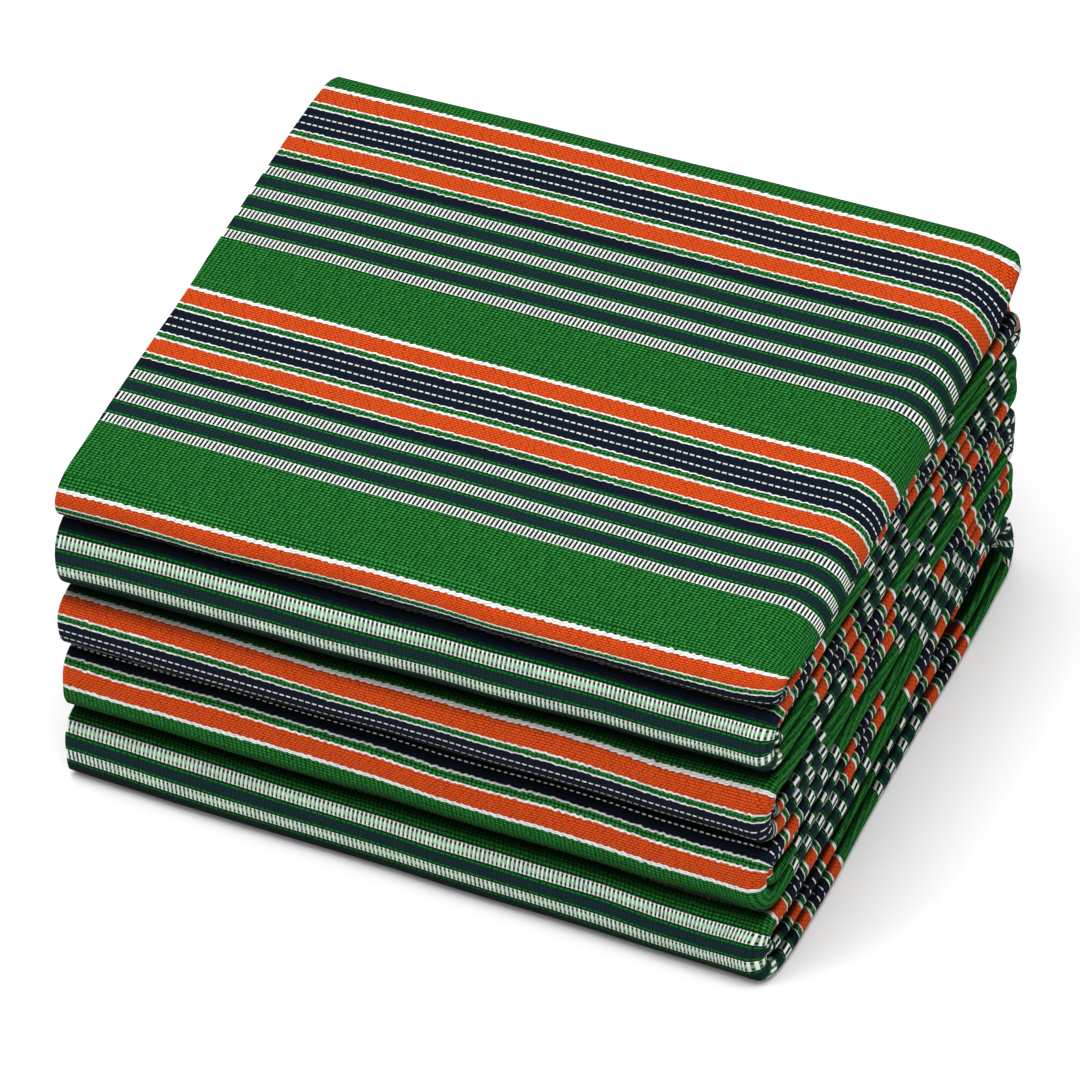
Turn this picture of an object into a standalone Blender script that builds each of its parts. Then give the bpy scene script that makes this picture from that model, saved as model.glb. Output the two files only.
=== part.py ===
"""A folded strip-woven cloth, as one solid sheet that runs back and forth through all of its layers.

The cloth was folded twice. The first folding, across the stripes, lays four layers on each other, with two
rolls on the right and one fold on the left. The second folding runs this band of four layers front to back
and back again, as ten long arms with five bends in front, and tucks both ends of the band in at the back.
"""

import math

import bmesh
import bpy
from mathutils import Vector

MM = 0.001

# The stack. X runs along the stripes, -Y is the front, and the cloth rests on Z = 0. Heights are (left, right).
WIDTH = 256 * MM
DEPTH = 223 * MM
HEIGHT_FRONT = (131 * MM, 137 * MM)
HEIGHT_BACK = (137 * MM, 149 * MM)
EVEN_HEIGHT = 130 * MM

# The cloth and its folding. Places along the depth are shares of it, from the front.
THICKNESS = 1.7 * MM
LAYERS = 4
ARMS = 10
SLOTS_AT_BACK = ARMS + 2
TUCK_TIP = 0.75
TUCK_RISE = ((0.0, 0.0), (0.55, 0.0), (0.75, 0.75), (0.86, 1.0), (1.0, 1.0))

# The right rolls, and how the top one hangs over the stack's side. The thin rolls' radius and centre are
# shares of the layers' pitch.
THIN_ROLL_RADIUS = 0.44
THIN_ROLL_CENTRE = -1.06
ROLL_LENGTH = 18.5 * MM
HANG_ARC = 15 * MM
HANG_ANGLE = math.radians(72)
HANG_ALONG = ((0.0, 0.25), (0.05, 0.25), (0.15, 1.0), (0.86, 1.0), (0.95, 0.25), (1.0, 0.25))

# Steps along the cloth and round its section
BEND_STEPS = 5
FOLD_STEPS = 3
HANG_STEPS = 3

# One row for each arm of the band, in its order along the cloth. How far (mm) its fat roll, its thin roll,
# its left fold and its loose left edges stay inside the stack's sides, how far its fat roll hangs (1 is the
# full angle), and the fat roll's centre and radius, as shares of the layers' pitch.
ARM_COLUMNS = ("fat", "thin", "left_fold", "left_edge", "hang", "centre", "radius")
ARM_ROWS = (
    (9.5, 17.0, 2.5, 1.0, 0.0, 0.80, 0.70),
    (0.0, 11.0, 1.5, 0.0, 1.0, 0.87, 0.78),
    (1.2, 9.0, 2.0, 0.5, 0.0, 0.87, 0.78),
    (0.8, 3.5, 1.0, 0.0, 0.0, 0.87, 0.78),
    (1.8, 2.8, 2.2, 0.6, 0.0, 0.87, 0.78),
    (0.6, 4.0, 1.4, 0.8, 0.0, 0.87, 0.78),
    (2.0, 2.4, 2.6, 1.2, 0.0, 0.87, 0.78),
    (1.0, 3.6, 1.8, 0.9, 0.0, 0.87, 0.78),
    (2.2, 3.0, 2.8, 1.6, 0.0, 0.87, 0.78),
    (1.2, 4.2, 2.0, 1.2, 0.0, 0.87, 0.78),
    (0.4, 2.6, 2.4, 1.4, 0.0, 0.80, 0.70),
    (4.0, 12.0, 3.0, 1.8, 0.0, 0.80, 0.70),
)

# How far (mm) each front bend and each back bend stays inside the stack's front and back, top to bottom
FRONT_BENDS = (5.0, 3.0, 1.5, 1.0, 0.0)
BACK_BENDS = (0.6, 0.0, 0.4, 1.2, 0.4, 0.8)

# How square the bends are (2 is a half circle). The lowest front bend is pressed square in its lower half.
ROUND_BEND = 2.6
PRESSED_BEND = 3.4

# The heights of the creases between the front bends, from the floor up, at the left and at the right side:
# the share of the height that a crease of an even stack has, and the share that it has here
CREASES_LEFT = ((0.0, 0.0), (0.2, 0.223), (0.4, 0.438), (0.6, 0.627), (0.8, 0.875), (1.0, 1.0))
CREASES_RIGHT = ((0.0, 0.0), (0.2, 0.222), (0.4, 0.452), (0.6, 0.677), (0.8, 0.897), (1.0, 1.0))

# How far (mm) the right and the left side are drawn in along the depth, and over which width. The right
# side's front corner is rounded, and so is the left side towards the back.
RIGHT_ALONG = ((0.0, 6.0), (0.01, 3.8), (0.03, 2.0), (0.06, 0.7), (0.1, 0.0), (1.0, 0.0))
RIGHT_WIDTH = 35 * MM
LEFT_ALONG = ((0.0, 0.0), (0.1, 0.6), (0.3, 1.8), (0.7, 2.0), (0.88, 2.6), (0.95, 4.0), (1.0, 6.5))
LEFT_WIDTH = 45 * MM

OBJECT_NAME = "cloth"
CLOTH_COLOUR = (0.02, 0.20, 0.05, 1.0)


def mix(a, b, share):
    return a + (b - a) * share


def smooth(share):
    return share * share * (3 - 2 * share)


def read_line(line, place):
    """The value at a place on a line of straight pieces, given as (place, value) points."""
    for (a, low), (b, high) in zip(line, line[1:]):
        if place <= b:
            return mix(low, high, (place - a) / (b - a))
    return line[-1][1]


def place_of(y):
    return y / DEPTH + 0.5


def arm_row(arm, y):
    row = dict(zip(ARM_COLUMNS, ARM_ROWS[arm]))
    row["hang"] *= read_line(HANG_ALONG, place_of(y))
    return row


def arm_thickness(y):
    """The thickness that an arm has room for at y, in a stack of even height."""
    return mix(EVEN_HEIGHT / ARMS, EVEN_HEIGHT / SLOTS_AT_BACK, read_line(TUCK_RISE, place_of(y)))


def slack_under(y):
    """What would stay free under the lowest layer, if the stack weren't pressed down on the surface."""
    return (arm_thickness(y) / LAYERS - THICKNESS) / 2


def arm_height(arm, y):
    """The height of an arm's middle at y, in a stack of even height."""
    if arm == 0:
        return (arm_height(1, y) + arm_height(2, y)) / 2
    if arm > ARMS:
        return (arm_height(ARMS - 1, y) + arm_height(ARMS, y)) / 2
    slot = 0 if arm == 1 else SLOTS_AT_BACK - 1 if arm == ARMS else arm
    at_front = EVEN_HEIGHT * (1 - (arm - 0.5) / ARMS)
    at_back = EVEN_HEIGHT * (1 - (slot + 0.5) / SLOTS_AT_BACK)
    return mix(at_front, at_back, read_line(TUCK_RISE, place_of(y))) - slack_under(y)


def room_beside_tucks(y):
    """The height that the tucked ends leave free between their two arms."""
    return EVEN_HEIGHT / SLOTS_AT_BACK * read_line(TUCK_RISE, place_of(y))


def bend_after(arm):
    """The bend that leads from an arm to the next: its centre (y, z) and its middle radius."""
    at_front = arm % 2 == 1
    out = -1 if at_front else 1
    edge = out * DEPTH / 2
    z, z_next = arm_height(arm, edge), arm_height(arm + 1, edge)
    radius = abs(z - z_next) / 2
    reach = radius + arm_thickness(edge) * (LAYERS - 1) / (2 * LAYERS) + THICKNESS / 2
    inset = (FRONT_BENDS if at_front else BACK_BENDS)[arm // 2] * MM
    return out * (DEPTH / 2 - inset - reach), (z + z_next) / 2, radius


def arm_stations(arm):
    """Stations (y, z, direction across the layers, thickness, row) along one arm, ends included."""
    tip = (TUCK_TIP - 0.5) * DEPTH
    start = tip if arm == 0 else bend_after(arm - 1)[0]
    end = tip if arm > ARMS else bend_after(arm)[0]
    places = {place for place, rise in TUCK_RISE}
    if arm == 1:
        places |= {place for place, hang in HANG_ALONG}
    if arm in (1, 2, ARMS - 1, ARMS):
        places.add((TUCK_TIP + TUCK_RISE[1][0]) / 2)
    inner = [(place - 0.5) * DEPTH for place in places]
    inner = sorted((y for y in inner if min(start, end) < y < max(start, end)), reverse=start > end)
    up = 1 if arm % 2 == 1 else -1
    for y in [start, *inner, end]:
        row = arm_row(arm, y)
        thickness = arm_thickness(y)
        row["room"] = 0.0
        if arm in (0, ARMS + 1):
            thickness = room_beside_tucks(y)
        elif arm in (1, 2, ARMS - 1, ARMS) and y < tip - MM:
            row["room"] = room_beside_tucks(y)
        yield y, arm_height(arm, y), (0.0, up), thickness, row


def bend_stations(arm):
    """Stations of the bend after an arm, without the ends that it shares with its two arms."""
    y_bend, z_bend, radius = bend_after(arm)
    out = 1 if y_bend > 0 else -1
    climbs = arm in (0, ARMS)
    faces_out = climbs or out < 0
    rows = [arm_row(a, y_bend) for a in (arm, arm + 1)]
    for step in range(1, BEND_STEPS):
        angle = math.pi * step / BEND_STEPS
        pressed = arm == ARMS - 1 and step > BEND_STEPS / 2
        power = PRESSED_BEND if pressed else ROUND_BEND
        square = (math.sin(angle) ** power + abs(math.cos(angle)) ** power) ** (-1 / power)
        radial = (out * math.sin(angle) * square, math.cos(angle) * square * (-1 if climbs else 1))
        side = 1 if faces_out else -1
        row = {key: mix(rows[0][key], rows[1][key], step / BEND_STEPS) for key in ARM_COLUMNS}
        row["room"] = 0.0
        place = (y_bend + radius * radial[0], z_bend + radius * radial[1])
        yield *place, (side * radial[0], side * radial[1]), arm_thickness(y_bend), row


def roll_line(pitch, middle, centre, radius, tip, hang):
    """Middle line of one right roll, from the first layer, round its tip, back to the second layer.

    Each point is (x, n, nx, nn): its place in the band's section and the direction that the cloth's first
    side faces there.
    """
    angle = max(HANG_ANGLE * hang, 1e-6)
    arc_radius = HANG_ARC / angle
    straight = ROLL_LENGTH - HANG_ARC
    reach = arc_radius * math.sin(angle) + straight * math.cos(angle)
    root = tip - THICKNESS / 2 - radius - reach
    steps = HANG_STEPS if centre > 0 else 1
    spine = []
    for along in [HANG_ARC * step / steps for step in range(steps + 1)] + [ROLL_LENGTH]:
        turn = angle * min(along / HANG_ARC, 1)
        past = max(along - HANG_ARC, 0)
        x = root + arc_radius * math.sin(turn) + past * math.cos(turn)
        drop = arc_radius * (1 - math.cos(turn)) + past * math.sin(turn)
        swell = smooth(along / ROLL_LENGTH)
        spine.append((x, mix(middle, centre, swell) - drop, turn, mix(pitch / 2, radius, swell)))
    out = [(x + h * math.sin(t), n + h * math.cos(t), math.sin(t), math.cos(t)) for x, n, t, h in spine]
    back = [(x - h * math.sin(t), n - h * math.cos(t), -math.sin(t), -math.cos(t)) for x, n, t, h in spine]
    x, n, turn, half = spine[-1]
    angles = [math.pi / 2 - turn - math.pi * step / FOLD_STEPS for step in range(1, FOLD_STEPS)]
    cap = [(x + half * math.cos(a), n + half * math.sin(a), math.cos(a), math.sin(a)) for a in angles]
    return out + cap + back[::-1]


def section(thickness, row):
    """Outline (x, n) of the four layers and their three folds, right round the sheet."""
    pitch = thickness / LAYERS
    spread = row["room"] / 4
    right = WIDTH / 2
    edge = row["left_edge"] * MM - WIDTH / 2
    fold = row["left_fold"] * MM - WIDTH / 2 + THICKNESS / 2 + pitch / 2
    line = [(edge, 1.5 * pitch, 0.0, 1.0)]
    line += roll_line(pitch, pitch, row["centre"] * pitch, row["radius"] * pitch,
                      right - row["fat"] * MM, row["hang"])
    for step in range(FOLD_STEPS + 1):
        angle = math.pi / 2 + math.pi * step / FOLD_STEPS
        across, up = math.cos(angle), math.sin(angle)
        line.append((fold + pitch / 2 * across, pitch / 2 * up, -across, -up))
    line += roll_line(pitch, -pitch, THIN_ROLL_CENTRE * pitch - spread, THIN_ROLL_RADIUS * pitch + spread,
                      right - row["thin"] * MM, 0.0)
    line.append((edge, -1.5 * pitch, 0.0, -1.0))
    half = THICKNESS / 2
    first_side = [(x + half * nx, n + half * nn) for x, n, nx, nn in line]
    second_side = [(x - half * nx, n - half * nn) for x, n, nx, nn in line]
    return first_side + second_side[::-1]


def drawn_in(x, y):
    """How far the rounding of the two sides moves a point to the left. On the left side it is negative."""
    near_right = max((x - WIDTH / 2) / RIGHT_WIDTH + 1, 0.0)
    near_left = max((-x - WIDTH / 2) / LEFT_WIDTH + 1, 0.0)
    place = place_of(y)
    return (near_right * read_line(RIGHT_ALONG, place) - near_left * read_line(LEFT_ALONG, place)) * MM


def settled(x, y, z):
    """The even stack's point, moved to where it lies: higher at the back, the creases uneven in front."""
    from_left, from_front = x / WIDTH + 0.5, place_of(y)
    share = z / (EVEN_HEIGHT - 2 * slack_under(y))
    creased = mix(read_line(CREASES_LEFT, share), read_line(CREASES_RIGHT, share), from_left)
    height = mix(mix(*HEIGHT_FRONT, from_left), mix(*HEIGHT_BACK, from_left), from_front)
    return Vector((x - drawn_in(x, y), y, height * mix(creased, share, from_front)))


def folded_cloth():
    """Lofts the section along the band, by hand because no two of its sections are alike."""
    stations = []
    for arm in range(ARMS + 2):
        stations += arm_stations(arm)
        if arm <= ARMS:
            stations += bend_stations(arm)
    mesh = bmesh.new()
    rings = []
    for y, z, (across_y, across_z), thickness, row in stations:
        points = [settled(x, y + n * across_y, z + n * across_z) for x, n in section(thickness, row)]
        rings.append([mesh.verts.new(point) for point in points])
    count = len(rings[0])
    for ring, following in zip(rings, rings[1:]):
        for i in range(count):
            j = (i + 1) % count
            mesh.faces.new((ring[i], ring[j], following[j], following[i]))
    for ring in (rings[0], rings[-1]):
        for i in range(count // 2 - 1):
            mesh.faces.new((ring[i], ring[i + 1], ring[-i - 2], ring[-i - 1]))
    bmesh.ops.triangulate(mesh, faces=mesh.faces[:])
    bmesh.ops.recalc_face_normals(mesh, faces=mesh.faces[:])
    return mesh


def cloth_material():
    material = bpy.data.materials.new("woven cloth")
    material.use_nodes = True
    shader = material.node_tree.nodes["Principled BSDF"]
    shader.inputs["Base Color"].default_value = CLOTH_COLOUR
    shader.inputs["Roughness"].default_value = 0.85
    shader.inputs["Metallic"].default_value = 0.0
    return material


def main():
    for old in list(bpy.data.objects):
        bpy.data.objects.remove(old, do_unlink=True)
    collection = bpy.data.collections.new("folded aso-oke cloth")
    bpy.context.scene.collection.children.link(collection)
    mesh = bpy.data.meshes.new(OBJECT_NAME)
    folded = folded_cloth()
    folded.to_mesh(mesh)
    folded.free()
    mesh.materials.append(cloth_material())
    collection.objects.link(bpy.data.objects.new(OBJECT_NAME, mesh))


main()
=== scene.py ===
# %% [markdown]
# # A folded aso-oke cloth
#
# Aso-oke is woven by hand on a narrow loom, as strips about four inches wide that are cut to one length and
# sewn edge to edge. This one is warp-striped in green, orange, navy and white, with rows of small white
# rungs, and it lies folded into a thick stack. The CAD model holds the folded sheet as one solid. This script
# dresses it: a finer sheet on the same folds, the stripes and the weave, and the raised white threads.

# %% Frame
import math
import bisect
import bmesh
import bpy
from functools import partial
from mathutils import Matrix, Vector, noise


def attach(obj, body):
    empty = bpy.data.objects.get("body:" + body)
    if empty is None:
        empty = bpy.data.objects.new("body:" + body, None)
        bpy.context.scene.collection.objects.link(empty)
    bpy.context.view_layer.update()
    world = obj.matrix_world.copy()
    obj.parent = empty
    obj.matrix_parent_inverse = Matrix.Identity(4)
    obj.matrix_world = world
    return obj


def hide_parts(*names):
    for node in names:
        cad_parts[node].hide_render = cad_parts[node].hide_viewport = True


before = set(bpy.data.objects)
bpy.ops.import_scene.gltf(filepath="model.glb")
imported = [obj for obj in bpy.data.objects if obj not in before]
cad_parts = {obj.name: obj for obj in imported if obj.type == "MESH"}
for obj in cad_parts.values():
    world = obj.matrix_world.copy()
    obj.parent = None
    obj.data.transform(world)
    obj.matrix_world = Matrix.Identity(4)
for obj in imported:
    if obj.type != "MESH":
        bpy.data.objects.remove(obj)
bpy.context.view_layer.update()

# %% [markdown]
# ## The camera
#
# A product picture of a stack like this one is taken from far away with a long lens, so that its edges stay
# nearly parallel. A long lens far away and a wide lens close by can show the stack equally large, but only
# the first one keeps the layers at the back as thick as those in front. The camera's place is worked out from
# its angle round the stack, its height and its distance.

# %% Camera
CAMERA_AZIMUTH = math.radians(23.8)
CAMERA_ELEVATION = math.radians(44.2)
CAMERA_ROLL = math.radians(-0.62)
CAMERA_DISTANCE = 3.31
CAMERA_AIM = Vector((0, -0.002, 0.0655))
CAMERA_SLIDE = (-0.0010, -0.0031)
LENS_MM = 333.3


def add_camera():
    back = Vector((
        math.sin(CAMERA_AZIMUTH) * math.cos(CAMERA_ELEVATION),
        -math.cos(CAMERA_AZIMUTH) * math.cos(CAMERA_ELEVATION),
        math.sin(CAMERA_ELEVATION),
    ))
    level = Vector((math.cos(CAMERA_AZIMUTH), math.sin(CAMERA_AZIMUTH), 0))
    upright = back.cross(level)
    right = level * math.cos(CAMERA_ROLL) + upright * math.sin(CAMERA_ROLL)
    up = upright * math.cos(CAMERA_ROLL) - level * math.sin(CAMERA_ROLL)
    place = CAMERA_AIM + back * CAMERA_DISTANCE + right * CAMERA_SLIDE[0] + up * CAMERA_SLIDE[1]
    camera = bpy.data.objects.new("camera", bpy.data.cameras.new("camera"))
    camera.data.lens = LENS_MM
    camera.data.clip_end = 50
    camera.matrix_world = Matrix((
        (right.x, up.x, back.x, place.x),
        (right.y, up.y, back.y, place.y),
        (right.z, up.z, back.z, place.z),
        (0, 0, 0, 1),
    ))
    bpy.context.scene.collection.objects.link(camera)
    bpy.context.scene.camera = camera
    print("camera at", [round(v, 3) for v in place])


add_camera()

# %% [markdown]
# ## Floor and light
#
# The cloth lies on a plain white table under soft light. Light from every side would be simpler, but it would
# reach into the creases, and they are nearly black on the real stack. So one very large lamp hangs overhead,
# a weaker one over the front left models the bends, and a faint one from the right keeps the rolled side
# readable. The world adds only a little.

# %% Floor and light
FLOOR_SIZE = 12.0
LAMPS = (
    ("overhead", (0.0, -0.2, 2.4), 2.2, 60),
    ("key", (-1.0, -1.1, 1.9), 1.0, 13),
    ("fill", (1.6, -0.9, 1.1), 1.2, 6),
)
WORLD_STRENGTH = 0.37


def add_floor():
    half = FLOOR_SIZE / 2
    mesh = bpy.data.meshes.new("floor")
    corners = [(-half, -half, 0), (half, -half, 0), (half, half, 0), (-half, half, 0)]
    mesh.from_pydata(corners, [], [(0, 1, 2, 3)])
    floor = bpy.data.objects.new("floor", mesh)
    material = bpy.data.materials.new("white table")
    material.use_nodes = True
    shader = material.node_tree.nodes["Principled BSDF"]
    shader.inputs["Base Color"].default_value = (0.96, 0.96, 0.96, 1)
    shader.inputs["Roughness"].default_value = 0.6
    mesh.materials.append(material)
    bpy.context.scene.collection.objects.link(floor)


def add_lamps():
    for name, place, size, watts in LAMPS:
        light = bpy.data.lights.new(name, "AREA")
        light.shape = "DISK"
        light.size = size
        light.energy = watts
        lamp = bpy.data.objects.new(name, light)
        lamp.location = place
        lamp.rotation_mode = "QUATERNION"
        lamp.rotation_quaternion = (Vector(place) - CAMERA_AIM).to_track_quat("Z", "Y")
        bpy.context.scene.collection.objects.link(lamp)
    world = bpy.data.worlds.new("studio")
    world.use_nodes = True
    background = world.node_tree.nodes["Background"]
    background.inputs["Color"].default_value = (1, 1, 1, 1)
    background.inputs["Strength"].default_value = WORLD_STRENGTH
    bpy.context.scene.world = world


add_floor()
add_lamps()
bpy.context.scene.view_settings.view_transform = "Standard"
print("lamps", [row[0] for row in LAMPS])

# %% [markdown]
# ## The folds, from the CAD's own sizes
#
# The CAD holds the folded sheet with as few faces as its shape needs. The dressed sheet lies in the same
# folds, so the same sizes and rows are written here again, in metres and millimetres. The band of four layers
# runs front to back ten times, as ten arms, and its two ends are tucked in at the back as arms 0 and 11.

# %% Sizes of the stack and rows of its arms
MM = 0.001
WIDTH = 256 * MM
DEPTH = 223 * MM
HEIGHT_FRONT = (131 * MM, 137 * MM)
HEIGHT_BACK = (137 * MM, 149 * MM)
EVEN_HEIGHT = 130 * MM
THICKNESS = 1.7 * MM
LAYERS = 4
ARMS = 10
SLOTS_AT_BACK = ARMS + 2
TUCK_TIP = 0.75
TUCK_RISES = (0.50, 0.90)
THIN_ROLL_RADIUS = 0.44
THIN_ROLL_CENTRE = -1.06
ROLL_LENGTH = 18.5 * MM
HANG_ARC = 15 * MM
HANG_ANGLE = math.radians(72)
HANG_ALONG = ((0.0, 0.25), (0.05, 0.25), (0.15, 1.0), (0.86, 1.0), (0.95, 0.25), (1.0, 0.25))
FRONT_BENDS = (5.0, 3.0, 1.5, 1.0, 0.0)
BACK_BENDS = (0.6, 0.0, 0.4, 1.2, 0.4, 0.8)
TOP_BEND = 2.1
ROUND_BEND = 2.6
PRESSED_BEND = 3.4
SQUARE_LONGER = 1.08
CREASES_LEFT = ((0, 0), (0.2, 0.223), (0.4, 0.438), (0.6, 0.627), (0.8, 0.875), (1, 1))
CREASES_RIGHT = ((0, 0), (0.2, 0.222), (0.4, 0.452), (0.6, 0.677), (0.8, 0.897), (1, 1))
RIGHT_ALONG = ((0.0, 6.0), (0.01, 3.8), (0.03, 2.0), (0.06, 0.7), (0.1, 0.0), (1.0, 0.0))
RIGHT_WIDTH = 35 * MM
LEFT_ALONG = ((0.0, 0.0), (0.1, 0.6), (0.3, 1.8), (0.7, 2.0), (0.88, 2.6), (0.95, 4.0), (1.0, 6.5))
LEFT_WIDTH = 45 * MM

ARM_COLUMNS = ("fat", "thin", "left_fold", "left_edge", "hang", "centre", "radius")
ARM_ROWS = (
    (9.5, 17.0, 2.5, 1.0, 0.0, 0.80, 0.70),
    (0.0, 11.0, 1.5, 0.0, 1.0, 0.87, 0.78),
    (1.2, 9.0, 2.0, 0.5, 0.0, 0.87, 0.78),
    (0.8, 3.5, 1.0, 0.0, 0.0, 0.87, 0.78),
    (1.8, 2.8, 2.2, 0.6, 0.0, 0.87, 0.78),
    (0.6, 4.0, 1.4, 0.8, 0.0, 0.87, 0.78),
    (2.0, 2.4, 2.6, 1.2, 0.0, 0.87, 0.78),
    (1.0, 3.6, 1.8, 0.9, 0.0, 0.87, 0.78),
    (2.2, 3.0, 2.8, 1.6, 0.0, 0.87, 0.78),
    (1.2, 4.2, 2.0, 1.2, 0.0, 0.87, 0.78),
    (0.4, 2.6, 2.4, 1.4, 0.0, 0.80, 0.70),
    (4.0, 12.0, 3.0, 1.8, 0.0, 0.80, 0.70),
)
print(len(ARM_ROWS), "arms,", LAYERS, "layers each")

# %% [markdown]
# ## Strips
#
# The cloth is sewn from strips, and a strip's stripes stay in their order from one edge to the other. Only
# the broad green field at its far side is wider or narrower, and some strips have one row of rungs less.
# The strips in the lower part were sewn on turned round, and the strip round the topmost bend is pulled
# wider. Each row below is one strip: where it begins along the band (mm), how many rows of rungs it has,
# whether it is turned, and how much it slants against the folds (mm for each mm along X). A strip's scale
# says how many woven millimetres lie on one millimetre of the band.

# %% Strips
STRIP_COLUMNS = ("begins", "rows", "turned", "slant")
STRIP_ROWS = (
    (-30.7, 4, 0, 0.0),
    (80.3, 4, 0, 0.0),
    (185.4, 3, 0, 0.0),
    (284.6, 4, 0, -0.016),
    (387.8, 3, 0, 0.004),
    (492.0, 4, 0, -0.006),
    (607.9, 3, 0, 0.005),
    (713.3, 3, 0, 0.003),
    (812.1, 4, 0, -0.005),
    (912.1, 3, 0, 0.006),
    (1023.9, 4, 0, -0.004),
    (1123.9, 3, 0, 0.005),
    (1224.0, 3, 0, 0.014),
    (1319.3, 3, 0, -0.006),
    (1413.7, 4, 0, 0.004),
    (1521.5, 3, 0, 0.006),
    (1615.5, 3, 1, 0.006),
    (1710.1, 4, 1, -0.005),
    (1821.6, 4, 1, 0.006),
    (1933.2, 4, 1, -0.004),
    (2056.4, 4, 1, 0.005),
    (2168.0, 4, 1, 0.007),
    (2254.6, 4, 1, -0.005),
    (2369.0, 4, 1, 0.004),
    (2486.5, 4, 1, 0.0),
)
NARROW_SCALE = 1.01
PULLED_STRIP = 3
PULLED_SCALE = 0.8
GREEN_EDGE = 4 * MM


def strips_of(rows):
    """The strips as dictionaries. A strip's faces start in green, a little before its first white line."""
    strips = []
    for row, following in zip(rows, rows[1:]):
        strip = dict(zip(STRIP_COLUMNS, row))
        strip["ends"] = following[0] * MM
        strip["begins"] = row[0] * MM
        edge = 0 if not strips else -GREEN_EDGE if not strip["turned"] else GREEN_EDGE * strips[-1]["turned"]
        strip["mark"] = strip["begins"] + edge
        narrow = NARROW_SCALE if strip["rows"] == 3 else 1.0
        strip["scale"] = PULLED_SCALE if len(strips) == PULLED_STRIP else narrow
        strips.append(strip)
    return strips


print(len(STRIP_ROWS) - 1, "strips")

# %% [markdown]
# ## One point of the folded sheet
#
# A loft needs two things: a line that the band follows, and a section that is drawn at every station of it.
# The line goes along an arm, round a bend, and back along the next arm. The section is the outline of the
# four layers with their two right rolls and one left fold.

# %% Heights and bends of the band


def mix(a, b, share):
    return a + (b - a) * share


def smooth(share):
    share = min(max(share, 0), 1)
    return share * share * (3 - 2 * share)


def read_line(line, place):
    """The value at a place on a line of straight pieces, given as (place, value) points."""
    for (a, low), (b, high) in zip(line, line[1:]):
        if place <= b:
            return mix(low, high, (place - a) / (b - a))
    return line[-1][1]


def place_of(y):
    return y / DEPTH + 0.5


def rise(y):
    begin, end = TUCK_RISES
    return smooth((place_of(y) - begin) / (end - begin))


def arm_row(arm, y):
    row = dict(zip(ARM_COLUMNS, ARM_ROWS[arm]))
    row["hang"] *= read_line(HANG_ALONG, place_of(y))
    row["room"] = 0.0
    return row


def arm_thickness(y):
    return mix(EVEN_HEIGHT / ARMS, EVEN_HEIGHT / SLOTS_AT_BACK, rise(y))


def slack_under(y):
    return (arm_thickness(y) / LAYERS - THICKNESS) / 2


def arm_height(arm, y):
    """The height of an arm's middle at y, in a stack of even height."""
    if arm == 0:
        return (arm_height(1, y) + arm_height(2, y)) / 2
    if arm > ARMS:
        return (arm_height(ARMS - 1, y) + arm_height(ARMS, y)) / 2
    slot = 0 if arm == 1 else SLOTS_AT_BACK - 1 if arm == ARMS else arm
    at_front = EVEN_HEIGHT * (1 - (arm - 0.5) / ARMS)
    at_back = EVEN_HEIGHT * (1 - (slot + 0.5) / SLOTS_AT_BACK)
    return mix(at_front, at_back, rise(y)) - slack_under(y)


def bend_after(arm):
    """The bend that leads from an arm to the next: its centre (y, z), its middle and its outer radius."""
    at_front = arm % 2 == 1
    out = -1 if at_front else 1
    edge = out * DEPTH / 2
    z, z_next = arm_height(arm, edge), arm_height(arm + 1, edge)
    radius = abs(z - z_next) / 2
    outer = radius + arm_thickness(edge) * (LAYERS - 1) / (2 * LAYERS) + THICKNESS / 2
    inset = (FRONT_BENDS if at_front else BACK_BENDS)[arm // 2] * MM
    return out * (DEPTH / 2 - inset - outer), (z + z_next) / 2, radius, outer


# %% [markdown]
# ## Stations along the band
#
# A station is a place where a section is drawn. Stations are about a centimetre apart along an arm and closer
# round a bend. A strip's edge gets a station too, so that a seam runs between two rows of faces.

# %% Stations along the band
ARM_STEP = 11 * MM
BEND_STEPS = 14
STATION = ("y", "z", "across", "thickness", "row", "along")


def split(begin, end, steps, marks):
    """Even steps from begin to end, with the marks that lie between them."""
    even = [mix(begin, end, step / steps) for step in range(steps + 1)]
    inner = [mark for mark in marks if begin < mark < end]
    kept = [place for place in even[1:-1] if all(abs(place - mark) > 0.5 * MM for mark in inner)]
    return sorted([even[0], even[-1]] + inner + kept)


def arm_stations(arm, begin_along, marks):
    tip = (TUCK_TIP - 0.5) * DEPTH
    start = tip if arm == 0 else bend_after(arm - 1)[0]
    end = tip if arm > ARMS else bend_after(arm)[0]
    up = 1 if arm % 2 == 1 else -1
    length = abs(end - start)
    stations = []
    for along in split(begin_along, begin_along + length, round(length / ARM_STEP), marks):
        y = mix(start, end, (along - begin_along) / length)
        row = arm_row(arm, y)
        thickness = arm_thickness(y)
        room = EVEN_HEIGHT / SLOTS_AT_BACK * rise(y)
        if arm in (0, ARMS + 1):
            thickness = room
        elif arm in (1, 2, ARMS - 1, ARMS):
            row["room"] = room * smooth((tip - 2 * MM - y) / (6 * MM))
        stations.append(dict(zip(STATION, (y, arm_height(arm, y), (0.0, up), thickness, row, along))))
    return stations


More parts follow.
